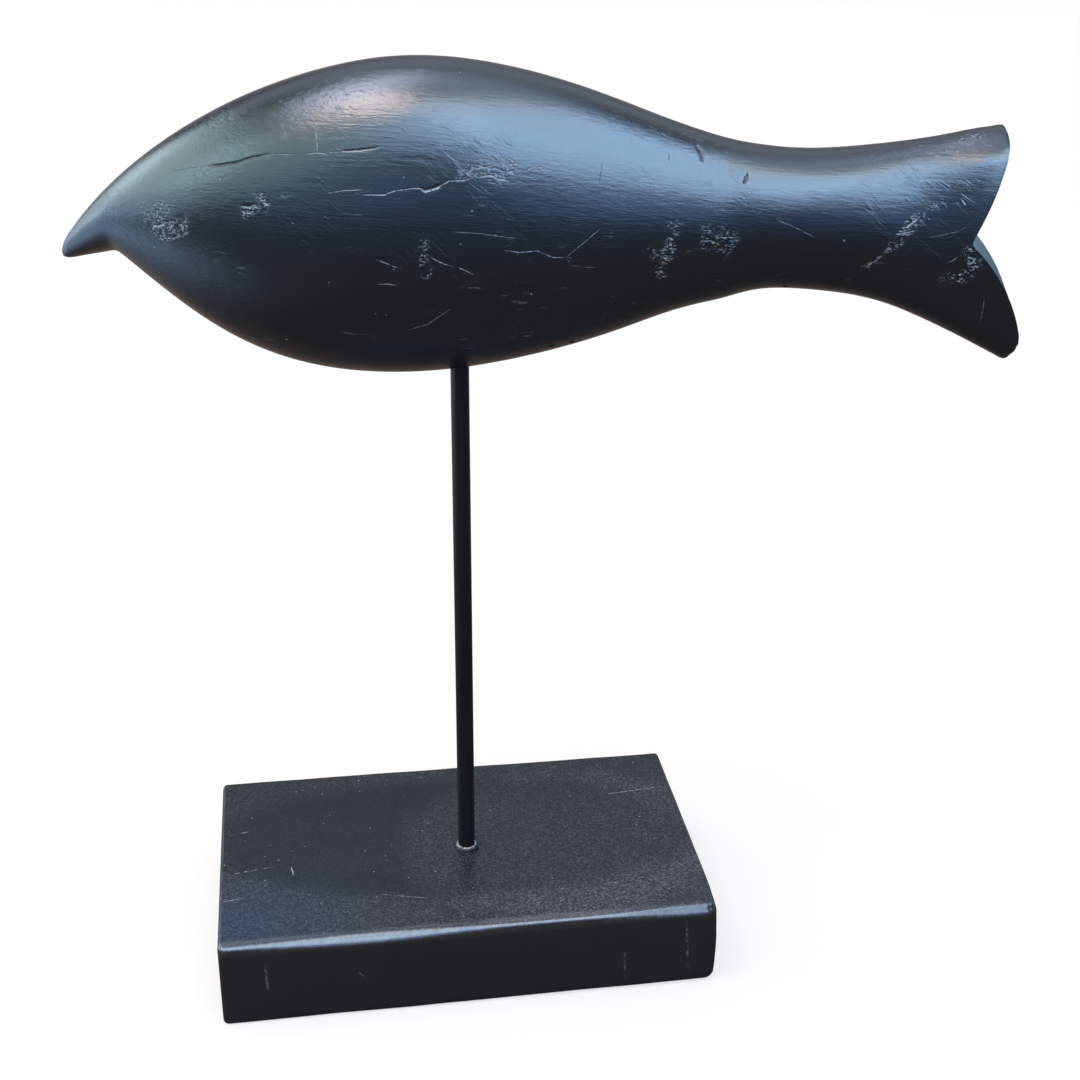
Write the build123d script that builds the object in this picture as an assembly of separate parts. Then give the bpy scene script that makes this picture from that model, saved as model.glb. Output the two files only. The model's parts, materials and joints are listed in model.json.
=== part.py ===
from build123d import *
import math
import os
from dataclasses import dataclass

# A carved wooden fish that turns on a steel rod, and the rod is glued into a wooden block.
# Millimetres, +Z up, X along the block's long side, origin at the centre of the block's underside.

# Block
BASE_LENGTH = 170.0
BASE_WIDTH = 102.0
BASE_HEIGHT = 32.0
BASE_EDGE_ROUND = 1.2
SOCKET_FLOOR = 8.0

# Rod, a standard 6 mm bar, with the place of its axis on the block
ROD_DIAMETER = 6.0
ROD_FREE_LENGTH = 181.0
ROD_END_CHAMFER = 0.5
ROD_X = 3.0
ROD_Y = -3.0

# Glue round the rod's foot
GLUE_GAP = 0.5
GLUE_BEAD_WIDTH = 1.4
GLUE_BEAD_HEIGHT = 1.2

# Bore in the fish that turns on the rod
BORE_DEPTH = 40.0
BORE_CLEARANCE = 0.05

# How far the fish is turned on its rod, and the fish's sizes. Reaches count along the fish from the rod's
# axis, and heights count from where the rod enters the belly.
FISH_TURN = -16.6
NOSE_REACH = 129.0
NOSE_HEIGHT = 32.5
NOSE_BLUNT = 4.6
NOSE_ROUND = 2.4
MOUTH_DEPTH = 20.9
MOUTH_RISE = 2.4
MOUTH_ROUND = 2.0
BACK_TOP_AHEAD = 10.0
BACK_TOP_HEIGHT = 97.0
BELLY_LOW_AHEAD = 27.5
BELLY_SAG = 1.1
REAR_BELLY_REACH = 55.0
REAR_BELLY_HEIGHT = 18.3
BODY_THICKNESS = 62.0
WIDEST_AHEAD = 15.0
WAIST_DEPTH = 41.8
WAIST_HEIGHT = 31.9
WAIST_THICKNESS = 35.0

# Tail, sawn out of a blank that runs a little past its trailing edges. The arcs that round the lobes'
# corners overrun the back and the belly, so that they cut right through.
TAIL_REACH = 169.6
TAIL_LENGTH = 69.6
TAIL_SPARE = 5.0
TAIL_DEPTH = 76.6
TAIL_HEIGHT = 9.7
TAIL_THICKNESS = 29.0
NOTCH_DEPTH = 16.9
NOTCH_HEIGHT = 51.0
UPPER_LOBE_SHORTER = 8.3
UPPER_EDGE_BULGE = 0.8
LOWER_EDGE_BULGE = 2.4
UPPER_CORNER_ROUND = 7.0
LOWER_CORNER_ROUND = 12.0
CORNER_OVERRUN = 1.25

# Slopes of the fish's lines in degrees, rising towards the tail
BEAK_SLOPE = 54.5
THROAT_SLOPE = -39.0
REAR_BELLY_SLOPE = 23.7
CHEEK_SLOPE = 31.0
TAIL_TOP_SLOPE = 13.5
TAIL_UNDER_SLOPE = -22.0

# Cross sections are ellipses. Round the tip of the nose they stand at these angles, and the first one leaves
# the tip with a small flat.
NOSE_ANGLES = (25.0, 45.0, 65.0, 90.0)
BEAK_SECTIONS = 14
BODY_SECTIONS = 27
BODY_SECTION_CROWDING = 1.5

# Places worked out from the sizes
rod_radius = ROD_DIAMETER / 2
socket_radius = rod_radius + GLUE_GAP
bore_radius = rod_radius + BORE_CLEARANCE
seat_height = BASE_HEIGHT + ROD_FREE_LENGTH
nose = -NOSE_REACH
mouth = nose + MOUTH_DEPTH
waist = TAIL_REACH - TAIL_LENGTH
blank_end = TAIL_REACH + TAIL_SPARE


@dataclass
class Anchor:
    """A point that a line of the carving passes through. Its handles reach a share of the span beside it."""

    along: float
    height: float
    slope: float = 0.0
    before: float = 0.36
    after: float = 0.36


def line_height(anchors, along):
    """Height at one place of the smooth line through the anchors, a chain of cubic Bezier spans."""
    for start, end in zip(anchors, anchors[1:]):
        if along <= end.along:
            break
    span = end.along - start.along
    out = span * start.after
    back = span * end.before
    places = (start.along, start.along + out, end.along - back, end.along)
    heights = (
        start.height,
        start.height + out * math.tan(math.radians(start.slope)),
        end.height - back * math.tan(math.radians(end.slope)),
        end.height,
    )

    def bezier(values, t):
        s = 1 - t
        return s**3 * values[0] + 3 * s * s * t * values[1] + 3 * s * t * t * values[2] + t**3 * values[3]

    low, high = 0.0, 1.0
    for _ in range(50):
        middle = (low + high) / 2
        if bezier(places, middle) < along:
            low = middle
        else:
            high = middle
    return bezier(heights, (low + high) / 2)


# Lines of the carving seen from the side and, for its thickness, from above
mouth_height = NOSE_HEIGHT + MOUTH_RISE
chin_height = NOSE_HEIGHT - NOSE_BLUNT / 2
chin_slope = math.degrees(math.atan2(mouth_height - chin_height, MOUTH_DEPTH))
back_line = [
    Anchor(nose, NOSE_HEIGHT + NOSE_BLUNT / 2, BEAK_SLOPE, after=0.23),
    Anchor(-BACK_TOP_AHEAD, BACK_TOP_HEIGHT, before=0.31, after=0.44),
    Anchor(waist, WAIST_HEIGHT + WAIST_DEPTH, before=0.31, after=0.29),
    Anchor(blank_end, TAIL_HEIGHT + TAIL_DEPTH, TAIL_TOP_SLOPE, before=0.42),
]
beak_underside = [
    Anchor(nose, chin_height, chin_slope),
    Anchor(mouth, mouth_height, chin_slope),
]
belly_line = [
    Anchor(mouth, mouth_height, THROAT_SLOPE, after=0.28),
    Anchor(-BELLY_LOW_AHEAD, -BELLY_SAG, before=0.48, after=0.31),
    Anchor(REAR_BELLY_REACH, REAR_BELLY_HEIGHT, REAR_BELLY_SLOPE, before=0.31, after=0.41),
    Anchor(waist, WAIST_HEIGHT, before=0.16, after=0.48),
    Anchor(blank_end, TAIL_HEIGHT, TAIL_UNDER_SLOPE, before=0.48),
]
half_thickness_line = [
    Anchor(nose, NOSE_BLUNT / 2, CHEEK_SLOPE),
    Anchor(-WIDEST_AHEAD, BODY_THICKNESS / 2, after=0.42),
    Anchor(waist, WAIST_THICKNESS / 2),
    Anchor(blank_end, TAIL_THICKNESS / 2),
]


def underside(along):
    """Height of the fish's underside: beak, rounded mouth corner, then throat and belly."""
    start = mouth - MOUTH_ROUND
    end = mouth + MOUTH_ROUND
    if along <= start:
        return line_height(beak_underside, along)
    if along >= end:
        return line_height(belly_line, along)
    t = (along - start) / (end - start)
    before = line_height(beak_underside, start)
    after = line_height(belly_line, end)
    return (1 - t) ** 2 * before + 2 * t * (1 - t) * mouth_height + t * t * after


def section(along):
    """Ellipse round the fish at one place, as an upper and a lower half, drawn in towards the nose's tip.

    Each half is a cubic curve whose handles stand twice as tall as the half and weigh a third of its ends.
    """
    from_nose = min((along - nose) / NOSE_ROUND, 1.0)
    rounding = math.sqrt(1 - (1 - from_nose) ** 2)
    top = line_height(back_line, along)
    bottom = underside(along)
    middle = (top + bottom) / 2
    half_height = (top - bottom) / 2 * rounding
    half_width = line_height(half_thickness_line, along) * rounding
    halves = []
    for side in (1, -1):
        handle = middle + side * 2 * half_height
        halves.append(
            Bezier(
                (along, side * half_width, middle),
                (along, side * half_width, handle),
                (along, -side * half_width, handle),
                (along, -side * half_width, middle),
                weights=[1, 1 / 3, 1 / 3, 1],
            )
        )
    return Wire(halves)


def make_blank():
    """The fish before its tail is sawn to shape. Its sections stand closest from the nose to the mouth."""
    places = [nose + NOSE_ROUND * (1 - math.cos(math.radians(angle))) for angle in NOSE_ANGLES]
    beak_start = places[-1]
    beak_end = mouth + MOUTH_ROUND
    for index in range(BEAK_SECTIONS):
        share = (index + 1) / BEAK_SECTIONS
        places.append(beak_start + (beak_end - beak_start) * share)
    for index in range(BODY_SECTIONS):
        share = ((index + 1) / BODY_SECTIONS) ** BODY_SECTION_CROWDING
        places.append(beak_end + (blank_end - beak_end) * share)
    return Solid.make_loft([section(along) for along in places])


def make_tail_air():
    """The air behind the tail: two bulging edges that meet in a notch, and rounded lobe corners."""
    apex = Vector(TAIL_REACH - NOTCH_DEPTH, NOTCH_HEIGHT)
    upper_along = TAIL_REACH - UPPER_LOBE_SHORTER
    upper_tip = Vector(upper_along, line_height(back_line, upper_along) - UPPER_CORNER_ROUND)
    lower_tip = Vector(TAIL_REACH, underside(TAIL_REACH) + LOWER_CORNER_ROUND)
    upper_edge = SagittaArc(apex, upper_tip, -UPPER_EDGE_BULGE)
    lower_edge = SagittaArc(apex, lower_tip, LOWER_EDGE_BULGE)
    upper_end = upper_tip + Vector(-UPPER_CORNER_ROUND, UPPER_CORNER_ROUND) * CORNER_OVERRUN
    lower_end = lower_tip + Vector(-LOWER_CORNER_ROUND / 2, -LOWER_CORNER_ROUND) * CORNER_OVERRUN
    upper_corner = TangentArc(upper_tip, upper_end, tangent=upper_edge % 1)
    lower_corner = TangentArc(lower_tip, lower_end, tangent=lower_edge % 1)
    far = blank_end + TAIL_SPARE
    outside = Polyline(
        upper_end,
        (upper_end.X, BACK_TOP_HEIGHT + TAIL_DEPTH),
        (far, BACK_TOP_HEIGHT + TAIL_DEPTH),
        (far, -TAIL_DEPTH),
        (lower_end.X, -TAIL_DEPTH),
        lower_end,
    )
    profile = make_face([upper_edge, upper_corner, outside, lower_corner, lower_edge])
    return extrude(Plane.XZ * profile, amount=BODY_THICKNESS + TAIL_THICKNESS, both=True)


def make_fish_body():
    """The carving, bored for the rod, with its tail sawn, and set on the rod at its turn."""
    bore = Cylinder(bore_radius, BORE_DEPTH * 2)
    fish = make_blank() - bore - make_tail_air()
    return Pos(ROD_X, ROD_Y, seat_height) * Rot(0, 0, FISH_TURN) * fish


def make_support_rod():
    """The bar from the socket's floor up to the end of the fish's bore, with its ends chamfered."""
    length = seat_height + BORE_DEPTH - SOCKET_FLOOR
    bar = Cylinder(rod_radius, length, align=(Align.CENTER, Align.CENTER, Align.MIN))
    bar = chamfer(bar.edges().filter_by(GeomType.CIRCLE), ROD_END_CHAMFER)
    return Pos(ROD_X, ROD_Y, SOCKET_FLOOR) * bar


def make_base_block():
    """The block with all its edges rounded and a blind socket for the rod and its glue."""
    block = Box(BASE_LENGTH, BASE_WIDTH, BASE_HEIGHT, align=(Align.CENTER, Align.CENTER, Align.MIN))
    block = fillet(block.edges(), BASE_EDGE_ROUND)
    socket = Cylinder(socket_radius, BASE_HEIGHT, align=(Align.CENTER, Align.CENTER, Align.MIN))
    return block - Pos(ROD_X, ROD_Y, SOCKET_FLOOR) * socket


def make_foot_glue():
    """The glue that fills the socket round the rod and stands up as a sloping bead at the rod's foot."""
    glue_floor = SOCKET_FLOOR + ROD_END_CHAMFER
    outline = Polyline(
        (rod_radius, glue_floor),
        (socket_radius, glue_floor),
        (socket_radius, BASE_HEIGHT),
        (rod_radius + GLUE_BEAD_WIDTH, BASE_HEIGHT),
        (rod_radius, BASE_HEIGHT + GLUE_BEAD_HEIGHT),
        close=True,
    )
    return Pos(ROD_X, ROD_Y, 0) * revolve(Plane.XZ * make_face(outline), Axis.Z)


os.makedirs("parts", exist_ok=True)
pieces = {
    "fish_body": make_fish_body(),
    "support_rod": make_support_rod(),
    "base_block": make_base_block(),
    "foot_glue": make_foot_glue(),
}
for name, piece in pieces.items():
    export_step(piece, f"parts/{name}.step")
    print(name, round(piece.volume), "mm3", piece.bounding_box().size)
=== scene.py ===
import json
import math

import bmesh
import bpy
import numpy as np
from mathutils import Matrix, Vector, noise
from mathutils.bvhtree import BVHTree
from mathutils.kdtree import KDTree


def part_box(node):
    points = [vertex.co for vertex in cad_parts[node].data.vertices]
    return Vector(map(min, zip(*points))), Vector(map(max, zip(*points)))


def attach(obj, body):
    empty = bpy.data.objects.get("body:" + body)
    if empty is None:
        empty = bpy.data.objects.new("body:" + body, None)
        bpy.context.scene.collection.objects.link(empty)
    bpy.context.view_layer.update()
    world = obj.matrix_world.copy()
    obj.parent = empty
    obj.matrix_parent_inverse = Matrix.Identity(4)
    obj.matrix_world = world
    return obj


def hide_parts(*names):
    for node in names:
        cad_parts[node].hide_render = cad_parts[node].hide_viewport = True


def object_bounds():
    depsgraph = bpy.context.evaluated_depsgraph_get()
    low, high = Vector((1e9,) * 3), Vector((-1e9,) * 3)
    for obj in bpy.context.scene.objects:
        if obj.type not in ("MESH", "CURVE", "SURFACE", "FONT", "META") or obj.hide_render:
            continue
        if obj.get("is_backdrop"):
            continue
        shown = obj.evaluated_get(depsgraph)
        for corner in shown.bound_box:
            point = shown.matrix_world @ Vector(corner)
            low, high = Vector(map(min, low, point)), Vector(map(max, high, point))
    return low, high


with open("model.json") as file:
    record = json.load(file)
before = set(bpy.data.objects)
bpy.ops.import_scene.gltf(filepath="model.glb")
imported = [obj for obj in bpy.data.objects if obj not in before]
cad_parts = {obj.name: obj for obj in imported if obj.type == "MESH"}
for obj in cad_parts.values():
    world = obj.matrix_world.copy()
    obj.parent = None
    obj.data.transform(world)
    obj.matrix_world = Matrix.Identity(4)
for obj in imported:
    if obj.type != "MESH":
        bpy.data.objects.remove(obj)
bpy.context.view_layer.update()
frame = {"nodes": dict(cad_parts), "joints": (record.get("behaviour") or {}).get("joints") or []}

mm = 0.001

# Wooden block that the figurine stands on. It was sawn, sanded by hand and painted satin black, so its
# edges are rounded unevenly, most along the front top edge. Dust lies on its top, and the paint has a few
# scratches.
block_low, block_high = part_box("base_block")
plain_edge_round = 1.7 * mm
front_edge_round = 1.3 * mm
front_left_wear = 3.2 * mm
front_right_wear = 3.6 * mm
foot_edge_wear = 1.8 * mm
front_wear_reach = 14 * mm
foot_wear_reach = 7 * mm
saw_rows_by_edge = [0.35, 0.75, 1.2, 1.7, 2.3, 3.0, 3.9, 5.2, 7.5]
saw_row_spacing = 5.0 * mm
socket_radius = 3.5 * mm
socket_floor = 8.0 * mm


def bump_at(place, centre, reach):
    """Bell curve round a centre, one at the centre itself."""
    return math.exp(-(((place - centre) / reach) ** 2))


def edge_round(place):
    """How far the block's edges are rounded at one place."""
    plain = plain_edge_round * (1 + 0.3 * noise.noise(place * 70))
    plain += foot_edge_wear * bump_at(place.z, 0.0, foot_wear_reach) * (0.6 + 0.4 * place.x / block_high.x)
    from_front = math.hypot(place.y - block_low.y, place.z - block_high.z)
    share = max(0.0, 1 - from_front / front_wear_reach)
    pale_marks = front_edge_round
    pale_marks += front_left_wear * bump_at(place.x, -36 * mm, 34 * mm)
    pale_marks += front_right_wear * bump_at(place.x, 78 * mm, 24 * mm)
    pale_marks *= 1 + 0.12 * noise.noise(place * 130)
    return plain + (pale_marks - plain) * share * share * (3 - 2 * share)


def new_piece(form, name):
    """Object at the origin made from a bmesh, smooth and linked to the scene."""
    bmesh.ops.recalc_face_normals(form, faces=form.faces)
    mesh = bpy.data.meshes.new(name)
    form.to_mesh(mesh)
    form.free()
    mesh.shade_smooth()
    piece = bpy.data.objects.new(name, mesh)
    bpy.context.scene.collection.objects.link(piece)
    return piece


def applied(piece):
    """Bakes a piece's modifiers into its mesh."""
    bpy.context.view_layer.update()
    shown = piece.evaluated_get(bpy.context.evaluated_depsgraph_get())
    mesh = bpy.data.meshes.new_from_object(shown)
    piece.modifiers.clear()
    piece.data = mesh
    return piece


# The block's mesh is cut into rows, closest near its edges, and the edges are then rounded.
block_form = bmesh.new()
bmesh.ops.create_cube(block_form, size=1.0)
bmesh.ops.scale(block_form, vec=block_high - block_low, verts=block_form.verts)
bmesh.ops.translate(block_form, vec=(block_low + block_high) / 2, verts=block_form.verts)
for axis in range(3):
    across = Vector([1.0 if index == axis else 0.0 for index in range(3)])
    low, high = block_low[axis], block_high[axis]
    low_rows = [low + inset * mm for inset in saw_rows_by_edge]
    high_rows = [high - inset * mm for inset in saw_rows_by_edge]
    rows = low_rows + high_rows
    inner_low, inner_high = max(low_rows), min(high_rows)
    count = max(1, round((inner_high - inner_low) / saw_row_spacing))
    rows += [inner_low + (inner_high - inner_low) * step / count for step in range(1, count)]
    for row in rows:
        every = block_form.verts[:] + block_form.edges[:] + block_form.faces[:]
        bmesh.ops.bisect_plane(block_form, geom=every, plane_co=across * row, plane_no=across)
for vert in block_form.verts:
    radius = edge_round(vert.co)
    core = Vector([
        min(max(vert.co[axis], block_low[axis] + radius), block_high[axis] - radius) for axis in range(3)
    ])
    away = vert.co - core
    vert.co = core + away.normalized() * radius
block = new_piece(block_form, "wooden_block")

# Socket drilled for the rod and its glue
joint = frame["joints"][0]
rod_axis = Vector(joint["pos_m"])
socket_form = bmesh.new()
bmesh.ops.create_cone(
    socket_form, cap_ends=True, segments=48, radius1=socket_radius, radius2=socket_radius, depth=block_high.z
)
bmesh.ops.translate(
    socket_form, vec=(rod_axis.x, rod_axis.y, socket_floor + block_high.z / 2), verts=socket_form.verts
)
socket = new_piece(socket_form, "socket_drill")
drilling = block.modifiers.new("socket", "BOOLEAN")
drilling.operation = "DIFFERENCE"
drilling.solver = "EXACT"
drilling.object = socket
applied(block)
bpy.data.objects.remove(socket)


class Tone:
    """A socket in a finish. Arithmetic between tones and numbers adds Math nodes."""

    def __init__(self, socket):
        self.socket = socket

    def node(self, kind, settings=None, inputs=None, output=0):
        """Adds a node of any kind: its settings, then the values or links of its sockets."""
        tree = self.socket.id_data
        made = tree.nodes.new("ShaderNode" + kind)
        for name, value in (settings or {}).items():
            setattr(made, name, value)
        for name, value in (inputs or {}).items():
            if isinstance(value, Tone):
                tree.links.new(value.socket, made.inputs[name])
            else:
                made.inputs[name].default_value = value
        return Tone(made.outputs[output])

    def math(self, operation, *others):
        """Adds a Math node with this tone as its first value."""
        return self.node("Math", {"operation": operation}, dict(enumerate((self, *others))))

    def __add__(self, other):
        return self.math("ADD", other)

    def __sub__(self, other):
        return self.math("SUBTRACT", other)

    def __rsub__(self, other):
        return self.math("MULTIPLY_ADD", -1.0, other)

    def __mul__(self, other):
        return self.math("MULTIPLY", other)

    __radd__ = __add__
    __rmul__ = __mul__

    def rise(self, low, high):
        """Smooth step from 0 at low to 1 at high."""
        ends = {"Value": self, "From Min": low, "From Max": high}
        return self.node("MapRange", {"interpolation_type": "SMOOTHSTEP"}, ends)

    def mottle(self, scale, detail=3.0, roughness=0.6):
        """Noise over a place, from 0 to 1."""
        values = {"Vector": self, "Scale": scale, "Detail": detail, "Roughness": roughness}
        return self.node("TexNoise", {}, values)

    def parts(self):
        """The three parts of a place."""
        first = self.node("SeparateXYZ", {}, {0: self})
        outputs = first.socket.node.outputs
        return Tone(outputs[0]), Tone(outputs[1]), Tone(outputs[2])

    def moved(self, location=(0, 0, 0), turn=(0, 0, 0), size=(1, 1, 1)):
        """The same place as seen from a frame that was moved, turned and scaled."""
        values = {"Vector": self, "Location": location, "Rotation": turn, "Scale": size}
        return self.node("Mapping", {"vector_type": "TEXTURE"}, values)

    def blended(self, dark, pale):
        """Colour between two colours, by this tone."""
        ends = {0: self, 6: dark, 7: pale}
        for key in (6, 7):
            if not isinstance(ends[key], Tone):
                ends[key] = (*ends[key], 1.0)
        return self.node("Mix", {"data_type": "RGBA"}, ends, output=2)

    def into(self, shader, name):
        """Feeds one of the shader's sockets."""
        self.socket.id_data.links.new(self.socket, shader.inputs[name])


def new_finish(name):
    """A material, its shader and the place on the piece that its patterns follow."""
    material = bpy.data.materials.new(name)
    material.use_nodes = True
    tree = material.node_tree
    place = Tone(tree.nodes.new("ShaderNodeTexCoord").outputs["Object"])
    return material, tree.nodes["Principled BSDF"], place


def scratch(place, start, end, width):
    """Mask of one thin straight scratch between two points in the plane of a place's first two parts."""
    run = Vector(end) - Vector(start)
    angle = math.atan2(run.y, run.x)
    along, across, _ = place.moved((*start, 0.0), (0, 0, angle), (run.length, width, 1)).parts()
    return across.math("ABSOLUTE").rise(1.0, 0.3) * along.rise(-0.02, 0.15) * along.rise(1.02, 0.7)


def grain_bump(height, reach):
    """Normal of a surface that a height map from 0 to 1 lifts by a reach."""
    return height.node("Bump", {}, {"Strength": 1.0, "Distance": reach, "Height": height})


# Satin black paint on the block, paler where it is dusty, scratched or rubbed. A shadow of the fish, a blue
# sheen and a highlight along the front top edge are painted into it too.
block_paint, block_shader, place = new_finish("block_paint")
east, north, up = place.parts()
ragged = place.mottle(600.0, 2.0)
fibre = place.moved(size=(14.0, 1, 1)).mottle(900.0, 4.0)
cloud = place.mottle(30.0, 5.0)
on_top = up.rise(block_high.z - 1.2 * mm, block_high.z - 0.2 * mm)

# Dust lies thinly over the top, and thicker from the rod's foot to the right. It is painted thinner in the
# shape of the fish's shadow, which makes a painted shadow of the fish, and a blue sheen is painted at the
# front left.
foot_place = place.moved((36 * mm, -4 * mm, 0.0), size=(56 * mm, 48 * mm, 1.0))
foot_x, foot_y, _ = foot_place.parts()
foot_dust = (foot_x * foot_x + foot_y * foot_y + 0.8 * cloud).rise(1.55, 1.2)
# Painted shadow of the fish: less dust is painted where its shadow falls on the top.
fish_shadow_place = place.moved((0.0, 4 * mm, 0.0), (0, 0, math.radians(-4)), (92 * mm, 38 * mm, 1.0))
fish_shadow_x, fish_shadow_y, _ = fish_shadow_place.parts()
painted_fish_shadow = (fish_shadow_x * fish_shadow_x + fish_shadow_y * fish_shadow_y + 0.5 * cloud).rise(1.45, 1.0)
dust_and_fish_shadow = (0.62 - 0.6 * painted_fish_shadow + 0.3 * cloud + 0.4 * foot_dust) * on_top
dust_and_fish_shadow = dust_and_fish_shadow * (0.75 + 0.1 * east.rise(-80 * mm, 30 * mm) - 0.3 * north.rise(10 * mm, 40 * mm))
# Painted blue sheen: a reflected sky colour painted at the front left of the top.
painted_blue_sheen = east.rise(-20 * mm, -75 * mm) * north.rise(0.0, -40 * mm) * on_top
grit = place.mottle(1300.0, 3.0).rise(0.40, 0.75)
cells = place.node("TexVoronoi", {}, {"Vector": place, "Scale": 420.0})
picked, _, _ = Tone(cells.socket.node.outputs["Color"]).parts()
speck = cells.rise(0.16, 0.05) * picked.rise(0.88, 0.91) * on_top
# Paler along the front top edge: partly paint worn through at the right end, partly a painted highlight
# along the whole edge.
edge_place = place.moved((0.0, block_low.y, block_high.z), size=(1.0, 3.4 * mm, 3.4 * mm))
_, edge_y, edge_z = edge_place.parts()
from_edge = edge_y * edge_y + edge_z * edge_z
edge_wear_and_highlight = from_edge.rise(1.0, 0.3) * (0.3 + 0.7 * east.rise(38 * mm, 66 * mm))
edge_wear_and_highlight = edge_wear_and_highlight * ragged.rise(0.36, 0.62)

top_scratches = None
for start, end, width in [
    ((-82, 15), (-74, 17), 0.22),
    ((-83, -9.5), (-66, -6.5), 0.26),
    ((-84, -25), (-76, -23.6), 0.26),
    ((-60, -7.5), (-59.2, -13), 0.3),
    ((59, 23.3), (83, 25.9), 0.26),
    ((-30, -28), (-12, -33), 0.14),
]:
    mark = scratch(place, [v * mm for v in start], [v * mm for v in end], width * mm) * on_top
    top_scratches = mark if top_scratches is None else top_scratches + mark
front_place = place.node("CombineXYZ", {}, {0: east, 1: up, 2: north})
on_front = north.rise(block_low.y + 2.5 * mm, block_low.y + 1.0 * mm)
front_scratches = None
for start, end, width in [
    ((73.6, 29), (75.2, 3), 0.6),
    ((52.4, 17), (52.7, 4), 0.5),
    ((-69.8, 25), (-69.3, 12), 0.6),
    ((-39, 18), (-36, 14), 0.3),
]:
    mark = scratch(front_place, [v * mm for v in start], [v * mm for v in end], width * mm) * on_front
    front_scratches = mark if front_scratches is None else front_scratches + mark
pale_marks = (top_scratches + front_scratches * 0.16) * ragged.rise(0.38, 0.6)
dust_and_painted_shadow = dust_and_fish_shadow * (0.03 + 0.22 * grit)
pale = (dust_and_painted_shadow + 0.55 * speck + 0.7 * pale_marks + 0.06 * edge_wear_and_highlight).math("MINIMUM", 1.0)
paint = on_top.blended((0.0115, 0.0100, 0.0092), (0.004, 0.0042, 0.0045))
tint = pale.blended(paint, (0.38, 0.37, 0.38))
(0.3 * painted_blue_sheen * (0.6 + 0.8 * grit)).blended(tint, (0.014, 0.05, 0.11)).into(block_shader, "Base Color")
gloss = 0.26 + 0.10 * dust_and_fish_shadow + 0.08 * cloud + 0.2 * pale_marks + 0.1 * edge_wear_and_highlight
gloss.into(block_shader, "Roughness")
polished = from_edge.rise(1.8, 0.6) * (0.45 + 0.7 * ragged)
polished = polished * (1.0 - 0.45 * east.rise(40 * mm, 66 * mm))
polished.math("MINIMUM", 1.0).into(block_shader, "Coat Weight")
block_shader.inputs["Coat Roughness"].default_value = 0.2
block_shader.inputs["Coat IOR"].default_value = 1.9
height = 0.012 * fibre + 0.008 * ragged + 0.04 * speck - 0.06 * pale_marks
grain_bump(height, 1.0 * mm).into(block_shader, "Normal")
block_shader.inputs["IOR"].default_value = 1.45
# Its reflections are tinted blue: painted sky light.
block_shader.inputs["Specular Tint"].default_value = (0.62, 0.82, 1.0, 1.0)
block.data.materials.clear()
block.data.materials.append(block_paint)
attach(block, "stand")
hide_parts("base_block")

# Hardened glue that holds the rod in the block. It fills the socket round the rod and stands up at the
# rod's foot as a lumpy, dusty bead.
rod_radius = 3.0 * mm
glue_floor = 8.5 * mm
bead_top = block_high.z + 1.2 * mm
bead_width = 1.2 * mm
bead_profile = [
    (rod_radius, glue_floor),
    (socket_radius, glue_floor),
    (socket_radius, block_high.z),
    (rod_radius + bead_width, block_high.z),
    (rod_radius + bead_width * 0.97, block_high.z + 0.35 * mm),
    (rod_radius + bead_width * 0.72, block_high.z + 0.75 * mm),
    (rod_radius + bead_width * 0.4, block_high.z + 1.0 * mm),
    (rod_radius, bead_top),
]
glue_form = bmesh.new()
ring = [glue_form.verts.new((rod_axis.x + radius, rod_axis.y, height)) for radius, height in bead_profile]
sides = [glue_form.edges.new((ring[index - 1], ring[index])) for index in range(len(ring))]
bmesh.ops.spin(
    glue_form, geom=ring + sides, cent=(rod_axis.x, rod_axis.y, 0), axis=(0, 0, 1), angle=math.tau, steps=72,
    use_merge=True,
)
bmesh.ops.remove_doubles(glue_form, verts=glue_form.verts, dist=0.001 * mm)
for vert in glue_form.verts:
    out = Vector((vert.co.x - rod_axis.x, vert.co.y - rod_axis.y, 0.0))
    if vert.co.z > block_high.z - 0.1 * mm and out.length > socket_radius:
        lump = noise.noise(vert.co * 900) * 0.35 + noise.noise(vert.co * 2600) * 0.2
        vert.co += out.normalized() * lump * bead_width
        vert.co.z += max(0.0, vert.co.z - block_high.z) * lump
glue = new_piece(glue_form, "foot_glue_bead")
glue_finish, glue_shader, place = new_finish("dusty_glue")
crust = place.mottle(1500.0, 5.0)
from_axis_x, from_axis_y, _ = place.moved((rod_axis.x, rod_axis.y, 0.0)).parts()
from_axis = (from_axis_x * from_axis_x + from_axis_y * from_axis_y).math("SQRT")
crest = from_axis.rise(rod_radius + 0.75 * mm, rod_radius + 0.35 * mm) * crust.rise(0.30, 0.55)
dusted = crest + 0.35 * crust.rise(0.55, 0.75)
dusted.blended((0.007, 0.0075, 0.009), (0.36, 0.37, 0.40)).into(glue_shader, "Base Color")
(0.55 + 0.35 * crust).into(glue_shader, "Roughness")
grain_bump(crust, 0.12 * mm).into(glue_shader, "Normal")
glue.data.materials.append(glue_finish)
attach(glue, "stand")
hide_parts("foot_glue")

# Slim steel bar that carries the fish. It is brushed with the same satin black paint, which shows faint
# runs along its length.
rod_paint, rod_shader, place = new_finish("rod_paint")
runs = place.moved(size=(1, 1, 25.0)).mottle(700.0, 3.0)
chips = place.mottle(260.0, 5.0)
chips.rise(0.70, 0.78).blended((0.002, 0.0022, 0.003), (0.02, 0.022, 0.026)).into(rod_shader, "Base Color")
(0.32 + 0.16 * runs).into(rod_shader, "Roughness")
grain_bump(runs, 0.03 * mm).into(rod_shader, "Normal")
rod_shader.inputs["IOR"].default_value = 1.45
frame["nodes"]["support_rod"].material_slots[0].material = rod_paint

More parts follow.
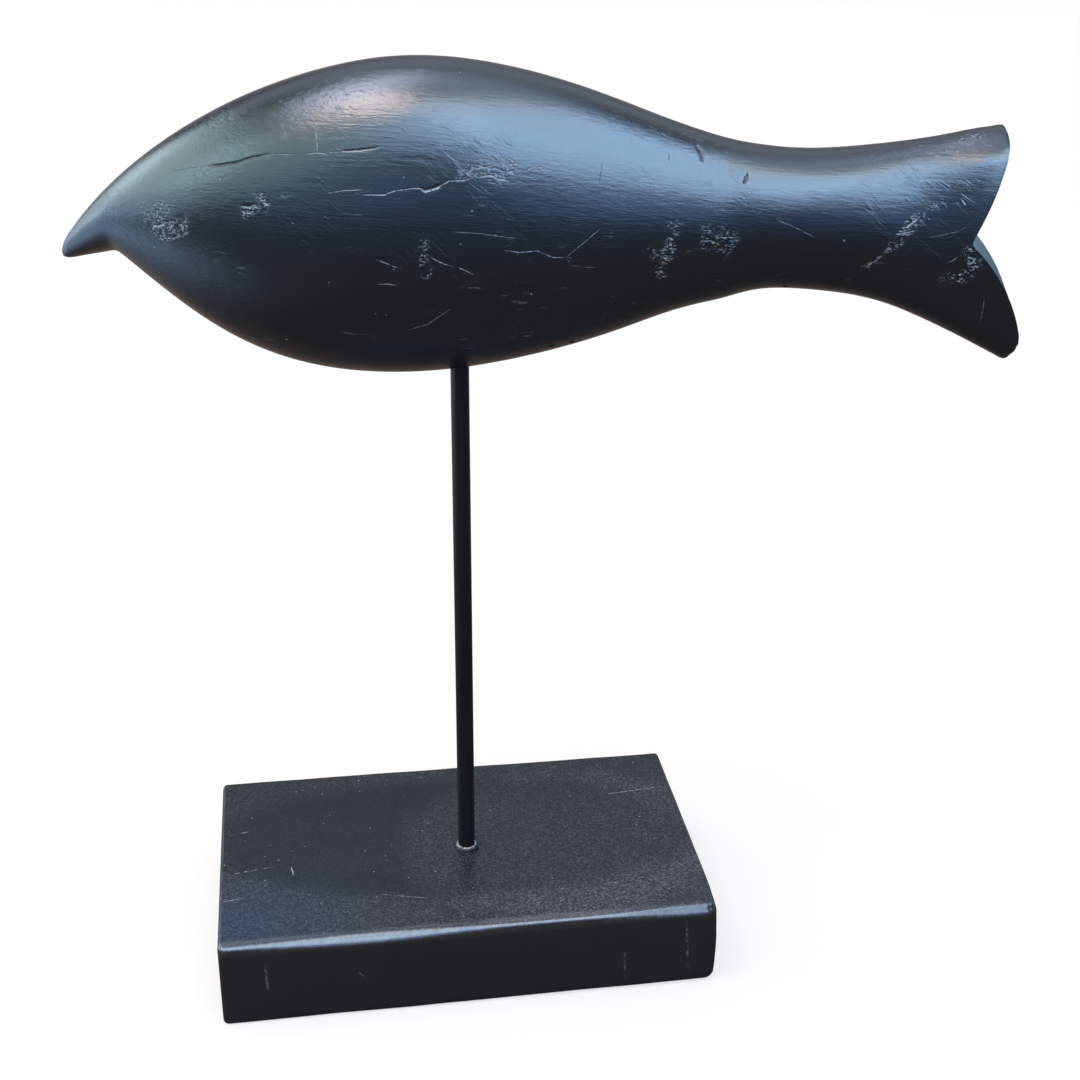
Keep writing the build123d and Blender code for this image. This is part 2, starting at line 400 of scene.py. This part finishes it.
# Fish, carved from one piece of soft wood, sanded and painted satin black. It is bored from below and turns
# on the rod. Drying cracks, knots and scratches show through the paint, and its tail is sawn to a notch.
fish_turn = math.radians(-16.6)
voxel = 1.2 * mm
bore_surroundings = 4.2 * mm
bore_rim_reach = 20 * mm
sawn_angle = math.radians(55)
sawn_step = 0.1 * mm
crossing_reach = 2.5 * voxel
crossing_angle = math.radians(50)
fold_angle = math.radians(105)
crease_angle = math.radians(40)
carved = bmesh.new()
carved.from_mesh(frame["nodes"]["fish_body"].data)
bmesh.ops.remove_doubles(carved, verts=carved.verts, dist=0.002 * mm)
carved_surface = BVHTree.FromBMesh(carved)


def from_rod(place):
    """Distance of a place from the rod's axis."""
    return math.hypot(place.x - rod_axis.x, place.y - rod_axis.y)


# Places along the sawn edges, at the tail's end and round the blunt end of the beak, but not at the bore
sawn_places = []
for edge in carved.edges:
    if edge.calc_face_angle(0.0) > sawn_angle and from_rod(edge.verts[0].co) > bore_rim_reach:
        start, end = edge.verts[0].co.copy(), edge.verts[1].co.copy()
        steps = math.ceil((end - start).length / sawn_step)
        sawn_places += [start.lerp(end, step / steps) for step in range(steps + 1)]
sawn_edges = KDTree(len(sawn_places))
for index, place in enumerate(sawn_places):
    sawn_edges.insert(place, index)
sawn_edges.balance()
fish = new_piece(carved, "carved_fish")
even = fish.modifiers.new("even", "REMESH")
even.mode = "VOXEL"
even.voxel_size = voxel
applied(fish)

form = bmesh.new()
form.from_mesh(fish.data)


def smoothed(verts, times):
    """Moves some of the fish's vertices halfway to their neighbours' middle, several times."""
    for _ in range(times):
        bmesh.ops.smooth_vert(
            form, verts=verts, factor=0.5, use_axis_x=True, use_axis_y=True, use_axis_z=True
        )


def sanded(times):
    """Smooths the fish, but neither the bore nor the sawn edges."""
    loose = [vert for vert in form.verts if from_rod(vert.co) > bore_surroundings and not vert.tag]
    smoothed(loose, times)


def fitted():
    """Puts the fish's loose vertices back on the carved surface."""
    for vert in form.verts:
        if not vert.tag:
            vert.co = carved_surface.find_nearest(vert.co)[0]


def own_places():
    """Along, across and up of every vertex in the fish's own frame, in millimetres."""
    places = np.array([vert.co for vert in form.verts]) - np.array(rod_axis)
    cos, sin = math.cos(fish_turn), math.sin(fish_turn)
    along = places[:, 0] * cos + places[:, 1] * sin
    across = places[:, 1] * cos - places[:, 0] * sin
    return along / mm, across / mm, places[:, 2] / mm


# The even mesh is split where it crosses a sawn edge, so that the edge stays sharp. Then it is sanded and
# the tail's two corners are rounded off.
fitted()
crossing = []
for edge in form.edges:
    if min(sawn_edges.find(vert.co)[2] for vert in edge.verts) < crossing_reach:
        facing, far_facing = [carved_surface.find_nearest(vert.co)[1] for vert in edge.verts]
        if facing.angle(far_facing) > crossing_angle:
            crossing.append(edge)
split = bmesh.ops.subdivide_edges(form, edges=crossing, cuts=1)
for part in split["geom_inner"]:
    if isinstance(part, bmesh.types.BMVert):
        part.co = sawn_edges.find(part.co)[0]
        part.tag = True
for _ in range(3):
    sanded(2)
    fitted()
sanded(3)
bmesh.ops.remove_doubles(form, verts=form.verts, dist=0.06 * mm)
folds = [edge for edge in form.edges if edge.calc_face_angle(0.0) > fold_angle]
bmesh.ops.collapse(form, edges=folds)
corner_reaches = (8, 6.5, 5)
for upward in (1, -1):
    along, _, up = own_places()
    tip = np.argmax(0.5 * along + upward * up)
    from_tip = np.hypot(along - along[tip], up - up[tip])
    for reach in corner_reaches:
        corner = [vert for vert, away in zip(form.verts, from_tip) if away < reach]
        smoothed(corner, 3)

# Cracks, nicks and scratches on one flank, in the fish's own frame. Each has its points along and up, then
# its half width, its depth and how pale its lower lip is painted, partly as worn paint and partly as a
# painted glint, in millimetres and from 0 to 1.
lines = [
    ([(-86, 63), (-78, 65.2), (-68, 67.2)], 0.13, 0.10, 0.1),
    ([(-71, 66.6), (-66, 67.4), (-61, 68.5), (-57, 70), (-50.5, 71.4)], 0.24, 0.40, 0.15),
    ([(-53, 71), (-49, 71.6), (-43, 71.7)], 0.14, 0.14, 0.2),
    ([(-39.5, 72.2), (-36, 72.7), (-33.4, 72.5)], 0.18, 0.2, 0.6),
    ([(-32.6, 73), (-29.5, 73.2)], 0.18, 0.2, 0.4),
    ([(-29.4, 73.3), (-22.5, 74.1), (-17.6, 74.9)], 0.2, 0.34, 0.3),
    ([(-37.2, 78.5), (-36.3, 74.5), (-36.5, 72.8)], 0.18, 0.05, 0.6),
    ([(-33, 61.8), (-28, 62.8), (-21.5, 63.4)], 0.18, 0.12, 0.45),
    ([(-22.5, 61.8), (-15.5, 62.2), (-13, 63.3), (-7, 64.3), (-3.8, 64.2)], 0.2, 0.22, 0.8),
    ([(-5.5, 64.4), (-3.6, 63.6), (-0.4, 64.6), (1.5, 65.6)], 0.42, 0.42, 0.8),
    ([(0.5, 65), (3, 66.5), (7.5, 66.8), (9.4, 67.5)], 0.2, 0.24, 0.8),
    ([(6.2, 68), (8, 68.6), (9.8, 69.9), (14.9, 70.7), (16.6, 71.5)], 0.18, 0.2, 0.5),
    ([(11, 67.5), (14.8, 68.3), (17.6, 67.2), (20.5, 66.7)], 0.24, 0.24, 0.6),
    ([(19.5, 71.1), (22.5, 71.3)], 0.16, 0.1, 0.4),
    ([(24.5, 69.5), (27.5, 70.6), (30.5, 70.2)], 0.17, 0.12, 0.35),
    ([(-18.8, 43.4), (-15, 42), (-11, 40.6)], 0.15, 0.06, 0.75),
    ([(-2.4, 44.6), (0.8, 42.9), (4.6, 41.7)], 0.16, 0.08, 1.0),
    ([(5.2, 41.9), (8, 40.6), (10.7, 39.2)], 0.16, 0.08, 0.9),
    ([(-18.7, 35.5), (-15.5, 35.8), (-12.6, 35.4)], 0.16, 0.06, 0.7),
    ([(-11.5, 20.2), (-4.4, 22.8), (-1, 25.5), (3, 28.4)], 0.15, 0.05, 0.45),
    ([(18.8, 47.1), (23.4, 46.4), (28.8, 46.9), (33, 44.9), (36.8, 44.9)], 0.17, 0.08, 0.75),
    ([(36.4, 44.6), (41, 48.5), (47, 53.8)], 0.14, 0.05, 0.5),
    ([(36.8, 44.9), (38, 43.3)], 0.15, 0.05, 0.5),
    ([(38, 42.6), (41.5, 41.8), (46, 41.7)], 0.12, 0.03, 0.3),
    ([(3.8, 52.3), (12, 51.9), (24, 50.4)], 0.13, 0.03, 0.4),
    ([(6, 35.2), (13, 35.3)], 0.13, 0.03, 0.4),
    ([(-89.9, 48), (-87.5, 48.2), (-85.2, 49.1)], 0.36, 0.45, 0.6),
    ([(-86.4, 44.6), (-83, 44.8), (-80.4, 46)], 0.26, 0.32, 0.5),
    ([(-60, 56.5), (-57.4, 56.5), (-55, 57.2)], 0.32, 0.42, 0.3),
    ([(72.3, 75.5), (73.9, 73.6), (74.8, 71)], 0.34, 0.42, 0.1),
    ([(87.4, 68.6), (87.2, 67), (86.6, 65.8)], 0.5, 0.5, 0.1),
    ([(64.9, 73.4), (65.1, 71.4)], 0.2, 0.2, 0.0),
    ([(46.2, 71.7), (45.7, 65.3)], 0.15, 0.1, 0.0),
    ([(95.8, 56.9), (102, 54.6), (108.7, 51.5)], 0.13, 0.03, 0.4),
    ([(158.2, 36), (158.4, 31), (158.1, 26.4)], 0.16, 0.03, 0.3),
    ([(122.8, 42.7), (125.8, 45.1), (130, 49.1)], 0.22, 0.05, 0.5),
    ([(133.6, 55), (135.5, 57), (137.4, 58.6)], 0.34, 0.36, 0.7),
    ([(140, 52.5), (148, 54.5), (152, 56.6)], 0.13, 0.02, 0.3),
    ([(148.4, 63.8), (149.4, 62.8), (150.2, 61.8)], 0.24, 0.1, 0.6),
    ([(146.6, 45.4), (148, 46.2), (149.6, 47.6)], 0.16, 0.05, 0.5),
]
# Knots and scuffs on the same flank: points along and up, half width, depth and how pale their flecks are.
scuffs = [
    ([(-91, 51), (-86, 53)], 3.2, 0.12, 0.45),
    ([(-87.5, 46.6), (-80.5, 48.6)], 4.0, 0.34, 0.6),
    ([(-58.4, 54.6), (-55.4, 55.8)], 1.9, 0.36, 0.8),
    ([(-54.4, 59.4), (-52.2, 57.4)], 1.9, 0.34, 0.75),
    ([(-48, 59.5), (-46, 60)], 1.1, 0.10, 0.45),
    ([(67.3, 54), (67, 47), (64.7, 44), (64.6, 40)], 2.0, 0.14, 0.65),
    ([(61.2, 47), (62.1, 45.6)], 1.0, 0.08, 0.55),
    ([(79.6, 50), (81.4, 49.2)], 4.2, 0.22, 0.55),
    ([(152.4, 48.6), (154.2, 45.3), (153.8, 42.4), (150, 41.2), (146.4, 41)], 1.9, 0.12, 0.8),
    ([(123, 42.8), (130, 49.1)], 1.1, 0.05, 0.5),
    ([(130, 49.1), (133.4, 53.9), (138, 58.5)], 1.9, 0.2, 0.75),
    ([(138, 58.5), (141, 61.4)], 1.4, 0.05, 0.45),
    ([(-4.2, 48.6), (-4.8, 45), (-3.4, 39.8)], 2.0, 0.05, 0.55),
    ([(8, 69.4), (20, 69)], 2.6, 0.10, 0.35),
    ([(148, 79.2), (153, 80.2)], 1.3, 0.04, 0.4),
    ([(-73, 78.5), (-67, 79.5)], 2.5, 0.04, 0.2),
]
# Pinholes low on the flank: centres along and up.
pinholes = [(31, 13.5), (37, 14), (56.5, 29.5), (60.5, 29), (81, 37), (98.5, 39), (100.5, 34), (118.5, 38.5)]
far_away = 1e6


def line_gap(points, along, up):
    """Distance to a line, signed by its side, and how full the line still is there, nought at its ends."""
    gap = np.full(len(along), far_away)
    fullness = np.zeros(len(along))
    whole = sum(math.dist(start, end) for start, end in zip(points, points[1:]))
    taper = min(2.5, whole / 4)
    passed = 0.0
    for (x0, z0), (x1, z1) in zip(points, points[1:]):
        run = math.dist((x0, z0), (x1, z1))
        share = np.clip(((along - x0) * (x1 - x0) + (up - z0) * (z1 - z0)) / run**2, 0, 1)
        aside_x = along - x0 - share * (x1 - x0)
        aside_z = up - z0 - share * (z1 - z0)
        away = np.hypot(aside_x, aside_z)
        side = np.where((x1 - x0) * aside_z - (z1 - z0) * aside_x < 0, -1, 1)
        nearer = away < np.abs(gap)
        gap = np.where(nearer, away * side, gap)
        spot = passed + share * run
        fullness = np.where(nearer, np.clip(np.minimum(spot, whole - spot) / taper, 0, 1), fullness)
        passed += run
    return gap, fullness


# The mesh is made finer round these marks. The deeper ones are then sunk into it, and all of them are kept
# as values on its surface for the paint.
flank_start = 2
sunk_from = 0.3
finer_reaches = (1.6, 0.8)
for reach in finer_reaches:
    along, across, up = own_places()
    near = np.full(len(along), far_away)
    for points, *_ in lines:
        near = np.minimum(near, np.abs(line_gap(points, along, up)[0]))
    for points, half_width, *_ in scuffs:
        near = np.minimum(near, np.abs(line_gap(points, along, up)[0]) - 0.9 * half_width)
    for centre in pinholes:
        near = np.minimum(near, np.hypot(along - centre[0], up - centre[1]) - 0.6)
    near = np.where(across < -flank_start, near, far_away)
    form.verts.index_update()
    close = [edge for edge in form.edges if max(near[vert.index] for vert in edge.verts) < reach]
    bmesh.ops.subdivide_edges(form, edges=close, cuts=1, use_grid_fill=True)
bmesh.ops.triangulate(form, faces=[face for face in form.faces if len(face.verts) > 4])
form.normal_update()

along, across, up = own_places()
on_flank = np.clip((-across - flank_start) / 2, 0, 1)
places = [vert.co.copy() for vert in form.verts]
speckle = np.array([noise.noise(place * 1700) for place in places])
streak = np.array([noise.noise(Vector((place.x * 420, place.y * 420, place.z * 1500))) for place in places])
ragged_edge = np.array([noise.noise(place * 260) for place in places])
swell = np.array([noise.noise(place * 30) + 0.3 * noise.noise(place * 85) for place in places])
line_side = np.full(len(places), 20.0)
line_near = np.full(len(places), far_away)
line_cut = np.zeros(len(places))
line_wear_and_glint = np.zeros(len(places))
sunk = np.zeros(len(places))
for points, half_width, depth, paleness in lines:
    gap, fullness = line_gap(points, along, up)
    nearer = np.abs(gap) < line_near
    line_near = np.where(nearer, np.abs(gap), line_near)
    shown = fullness * np.clip((1.5 - np.abs(gap)) / 0.4, 0, 1) * on_flank
    line_side = np.where(nearer, gap / half_width, line_side)
    line_cut = np.where(nearer, depth * shown, line_cut)
    line_wear_and_glint = np.where(nearer, paleness * shown, line_wear_and_glint)
    if depth > sunk_from:
        sunk = np.maximum(sunk, 0.5 * depth * np.exp(-((gap / (half_width + 0.06)) ** 2)) * shown)
rough = np.zeros(len(places))
rough_wear = np.zeros(len(places))
for points, half_width, depth, paleness in scuffs:
    reach = np.abs(line_gap(points, along, up)[0]) / half_width
    inside = np.clip(1.3 * (1.2 - reach - 0.7 * ragged_edge), 0, 1) * on_flank
    sunk = np.maximum(sunk, 0.5 * depth * np.clip(streak * 1.6 + 0.5 * speckle - 0.1, 0, 1) * inside)
    rough = np.maximum(rough, depth * inside)
    rough_wear = np.maximum(rough_wear, paleness * inside)
hole = np.zeros(len(places))
for centre in pinholes:
    from_centre = np.hypot((along - centre[0]) / 1.3, (up - centre[1]) / 0.9)
    hole = np.maximum(hole, np.clip(1.6 - 2.0 * from_centre, 0, 1) * on_flank)
sunk = np.maximum(sunk, 0.5 * hole)
clear_of_rod = np.clip([(from_rod(place) / mm - 5) / 8 for place in places], 0, 1)
for vert, lift in zip(form.verts, 0.10 * (swell - 0.6) * clear_of_rod - sunk):
    vert.co += vert.normal * lift * mm
form.to_mesh(fish.data)
form.free()
fish.data.shade_smooth()
fish.data.set_sharp_from_angle(angle=crease_angle)
for name, values in (
    ("line_side", line_side), ("line_cut", line_cut), ("line_wear_and_glint", line_wear_and_glint),
    ("rough", rough), ("rough_wear", rough_wear), ("hole", hole),
):
    fish.data.attributes.new(name, "FLOAT", "POINT").data.foreach_set("value", values.astype(np.float32))

# Satin black paint over the wood's grain and sanding marks, worn pale on the knots and along the cracks. The
# cracks' pale lower lips and short pale dashes along the grain are also painted glints.
fish_paint, fish_shader, place = new_finish("fish_paint")
own = place.moved(tuple(rod_axis), (0, 0, fish_turn))


def carved_in(name):
    """One of the values that the carving stores on the fish's surface."""
    return place.node("Attribute", {"attribute_name": name}, output="Fac")


def streaks(angle, length, scale):
    """Noise drawn out along the flank, at an angle to the fish's own length."""
    return own.moved(turn=(0, math.radians(angle), 0), size=(length, 1, 1)).mottle(scale, 3.0)


grain = own.moved(size=(22.0, 1, 1)).mottle(1100.0, 4.0, 0.65)
ridges = streaks(3, 9.0, 420.0)
sanding = streaks(11, 9.0, 1300.0)
cross_sanding = streaks(40, 9.0, 1000.0).rise(0.54, 0.72)
fine = own.mottle(2600.0, 2.0)
wander = own.mottle(700.0, 3.0)
cloud = own.mottle(24.0, 4.0)
rubbed = own.mottle(45.0, 3.0).rise(0.45, 0.62)
side = carved_in("line_side") + 2.0 * (wander - 0.5)
thin = 0.5 + 1.4 * own.mottle(450.0, 2.0)
broken = own.mottle(900.0, 2.0).rise(0.36, 0.56)
cut = ((side - 0.5).math("ABSOLUTE") * thin).rise(1.1, 0.2) * carved_in("line_cut")
# Paler lower lip of each line: partly worn paint, partly a painted glint.
lip_wear_and_glint = ((side + 0.5).math("ABSOLUTE") * thin).rise(1.1, 0.3) * carved_in("line_wear_and_glint") * broken
clumps = own.mottle(380.0, 2.0).rise(0.36, 0.54)
flecks = own.moved(size=(1.6, 1, 1)).mottle(1700.0, 3.0).rise(0.52, 0.62)
flecks = flecks * clumps * carved_in("rough_wear")
slits = own.moved(size=(3.0, 1, 1)).mottle(650.0, 2.0).rise(0.57, 0.68) * carved_in("rough")
cells = own.node("TexVoronoi", {}, {"Vector": own, "Scale": 300.0})
picked, _, _ = Tone(cells.socket.node.outputs["Color"]).parts()
speck = cells.rise(0.13, 0.05) * picked.rise(0.93, 0.95)
# Short pale dashes along the grain: painted glints.
glint_dash_place = own.moved(size=(12.0, 1, 1)).mottle(750.0, 2.0)
glint_dashes = glint_dash_place.rise(0.64, 0.72) * own.mottle(70.0, 2.0).rise(0.45, 0.65)
# Pale marks: worn paint, flecks and specks, with painted glints on the crack lips and along the grain.
pale_marks = 0.8 * lip_wear_and_glint + 0.8 * flecks + 0.3 * speck + 0.10 * glint_dashes
pale = (pale_marks + 0.004 * grain).math("MINIMUM", 1.0)
tint = pale.blended((0.0026, 0.0029, 0.0038), (0.36, 0.39, 0.44))
dark = (carved_in("hole") + 1.8 * slits + 1.2 * cut).math("MINIMUM", 1.0)
dark.blended(tint, (0.003, 0.003, 0.003)).into(fish_shader, "Base Color")
(0.155 + 0.09 * grain + 0.06 * cloud + 0.35 * pale + 0.3 * dark).into(fish_shader, "Roughness")
texture = 0.085 * grain + 0.03 * ridges + 0.05 * sanding + 0.016 * fine + 0.025 * glint_dashes
texture = texture + 0.05 * cross_sanding * rubbed - 0.5 * cut - 0.9 * slits

# The tail looks fuller below its top towards its end, so its shading is tilted there.
tail_top_height = 44.4 * mm
tail_top_slope = 0.24
along, _, up = own.parts()
under_top = tail_top_height + tail_top_slope * along - up
shoulder = under_top.rise(0.0, 9 * mm) * along.rise(134 * mm, 166 * mm)
grain_bump(texture + 2.0 * shoulder, 1.0 * mm).into(fish_shader, "Normal")
fish_shader.inputs["IOR"].default_value = 2.0
# Its reflections are tinted blue: painted sky light.
fish_shader.inputs["Specular Tint"].default_value = (0.7, 0.88, 1.0, 1.0)
fish.data.materials.clear()
fish.data.materials.append(fish_paint)
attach(fish, "fish")
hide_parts("fish_body")

# Plain pale floor that the figurine stands on
floor_form = bmesh.new()
bmesh.ops.create_grid(floor_form, x_segments=1, y_segments=1, size=8.0)
floor = new_piece(floor_form, "floor")
floor_finish, floor_shader, place = new_finish("pale_floor")
place.mottle(3.0, 2.0).blended((0.68, 0.63, 0.565), (0.70, 0.65, 0.585)).into(floor_shader, "Base Color")
floor_shader.inputs["Roughness"].default_value = 0.9
floor_shader.inputs["Specular IOR Level"].default_value = 0.1
path = place.node("LightPath").socket.node.outputs
seen = Tone(path["Is Camera Ray"]) + Tone(path["Is Glossy Ray"]) + Tone(path["Is Transmission Ray"])
white = place.node("Emission", {}, {"Color": (1.0, 1.0, 1.0, 1.0), "Strength": 1.0})
lifted = place.node("MixShader", {}, {0: 0.65 * seen.math("MINIMUM", 1.0), 2: white})
floor_tree = floor_finish.node_tree
floor_tree.links.new(floor_shader.outputs[0], lifted.socket.node.inputs[1])
floor_tree.links.new(lifted.socket, floor_tree.nodes["Material Output"].inputs["Surface"])
floor.data.materials.append(floor_finish)
floor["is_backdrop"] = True

# Card on the floor, which only the paint's reflections see. It is dark brown under the figurine, so that
# the undersides of the painted pieces stay dark, bluer far in front and to the right, and paler behind and
# to the left.
card_form = bmesh.new()
bmesh.ops.create_grid(card_form, x_segments=1, y_segments=1, size=8.0)
bmesh.ops.translate(card_form, vec=(0.0, 0.0, 0.4 * mm), verts=card_form.verts)
card = new_piece(card_form, "dark_card")
card_finish, card_shader, place = new_finish("dark_card")
east, north, _ = place.parts()
behind = north.rise(-0.02, 0.5) * (0.8 + 0.4 * place.mottle(9.0, 3.0))
brown = behind.blended((0.042, 0.026, 0.016), (0.23, 0.14, 0.09))
far_front = north.rise(-0.45, -1.2).blended(brown, (0.016, 0.022, 0.032))
to_right = east.rise(0.25, 0.9).blended(far_front, (0.04, 0.10, 0.15))
aside = east.rise(-0.2, -0.75) * north.rise(-0.4, -0.05)
aside.blended(to_right, (0.55, 0.64, 0.76)).into(card_shader, "Base Color")
card_shader.inputs["Roughness"].default_value = 0.9
card.data.materials.append(card_finish)
card.visible_camera = False
card.visible_diffuse = False
card.visible_shadow = False
card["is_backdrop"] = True

# Camera at the photograph's viewing angle
view_turn = math.radians(8.592)
view_pitch = math.radians(24.436)
view_roll = math.radians(0.359)
lens = bpy.data.cameras.new("photo_camera")
lens.sensor_fit = "HORIZONTAL"
lens.sensor_width = 36.0
lens.lens = 57.0
lens.clip_start = 0.01
camera = bpy.data.objects.new("photo_camera", lens)
camera.matrix_world = (
    Matrix.Translation((-0.04876, -0.51883, 0.38889))
    @ Matrix.Rotation(-view_turn, 4, "Z")
    @ Matrix.Rotation(math.pi / 2 - view_pitch, 4, "X")
    @ Matrix.Rotation(view_roll, 4, "Z")
)
bpy.context.scene.collection.objects.link(camera)
bpy.context.scene.camera = camera

# Soft studio light. Each lamp is set by its direction from the fish, measured from the camera's own
# direction, by the angle that it fills and by its brightness in red, green and blue.
lamp_distance = 12.0
lamp_aim = Vector((0.0, 0.0, 0.26))
for name, azimuth, elevation, wide, tall, shape, glow in [
    ("sky_low", 162, 34, 40, 24, "RECTANGLE", (2.85, 3.6, 4.9)),
    ("sky_high", 163, 57, 40, 26, "RECTANGLE", (3.0, 3.87, 4.84)),
    ("sky_side", 112, 64, 28, 22, "ELLIPSE", (0.8, 1.7, 2.9)),
    ("bridge", -158, 47, 22, 34, "ELLIPSE", (1.8, 2.2, 2.9)),
    ("key", -126, 60, 19, 20, "ELLIPSE", (10.2, 7.3, 6.0)),
    ("key_side", -93, 63, 22, 18, "ELLIPSE", (5.84, 5.19, 5.96)),
    ("key_top", -56, 69, 20, 20, "ELLIPSE", (2.8, 2.5, 2.8)),
    ("left", -84, 31, 68, 28, "ELLIPSE", (2.0, 2.35, 2.25)),
    ("left_front", -126, 31, 40, 36, "ELLIPSE", (1.0, 1.25, 1.2)),
    ("left_low", -94, 8, 60, 18, "ELLIPSE", (1.3, 1.6, 2.0)),
    ("overhead", 0, 84, 40, 30, "ELLIPSE", (1.1, 1.2, 1.45)),
    ("back", 0, 48, 80, 40, "ELLIPSE", (0.58, 0.61, 0.68)),
    ("right", 80, 35, 36, 26, "ELLIPSE", (1.6, 2.5, 3.1)),
    ("sky_top", 157, 75, 44, 9, "ELLIPSE", (4.5, 4.0, 3.9)),
    ("back_low", 8, 8, 84, 26, "ELLIPSE", (0.30, 0.30, 0.32)),
    ("front_left", -148, 12, 34, 22, "ELLIPSE", (0.3, 0.42, 0.68)),
    ("horizon", 178, 6, 60, 16, "ELLIPSE", (0.13, 0.22, 0.45)),
    ("horizon_right", 167, 10, 16, 16, "ELLIPSE", (0.8, 1.1, 1.8)),
    ("back_left", -60, 13, 44, 36, "ELLIPSE", (1.5, 1.7, 1.85)),
    ("back_right", 50, 8, 50, 30, "ELLIPSE", (0.30, 0.60, 0.85)),
]:
    heading = math.radians(azimuth) + view_turn
    rise = math.radians(elevation)
    level = math.cos(rise)
    direction = Vector((math.sin(heading) * level, math.cos(heading) * level, math.sin(rise)))
    light = bpy.data.lights.new(name, "AREA")
    light.shape = shape
    light.size = 2 * lamp_distance * math.tan(math.radians(wide) / 2)
    light.size_y = 2 * lamp_distance * math.tan(math.radians(tall) / 2)
    light.energy = math.pi * light.size * light.size_y * (math.pi / 4 if shape == "ELLIPSE" else 1.0)
    light.color = glow
    lamp = bpy.data.objects.new(name, light)
    lamp.location = lamp_aim + direction * lamp_distance
    lamp.rotation_mode = "QUATERNION"
    lamp.rotation_quaternion = (-direction).to_track_quat("-Z", "Y")
    bpy.context.scene.collection.objects.link(lamp)

# Even, dim studio surroundings
world = bpy.data.worlds.new("studio")
world.use_nodes = True
background = world.node_tree.nodes["Background"]
background.inputs["Color"].default_value = (0.09, 0.09, 0.10, 1.0)
bpy.context.scene.world = world
bpy.context.scene.view_settings.view_transform = "Standard"

low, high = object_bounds()
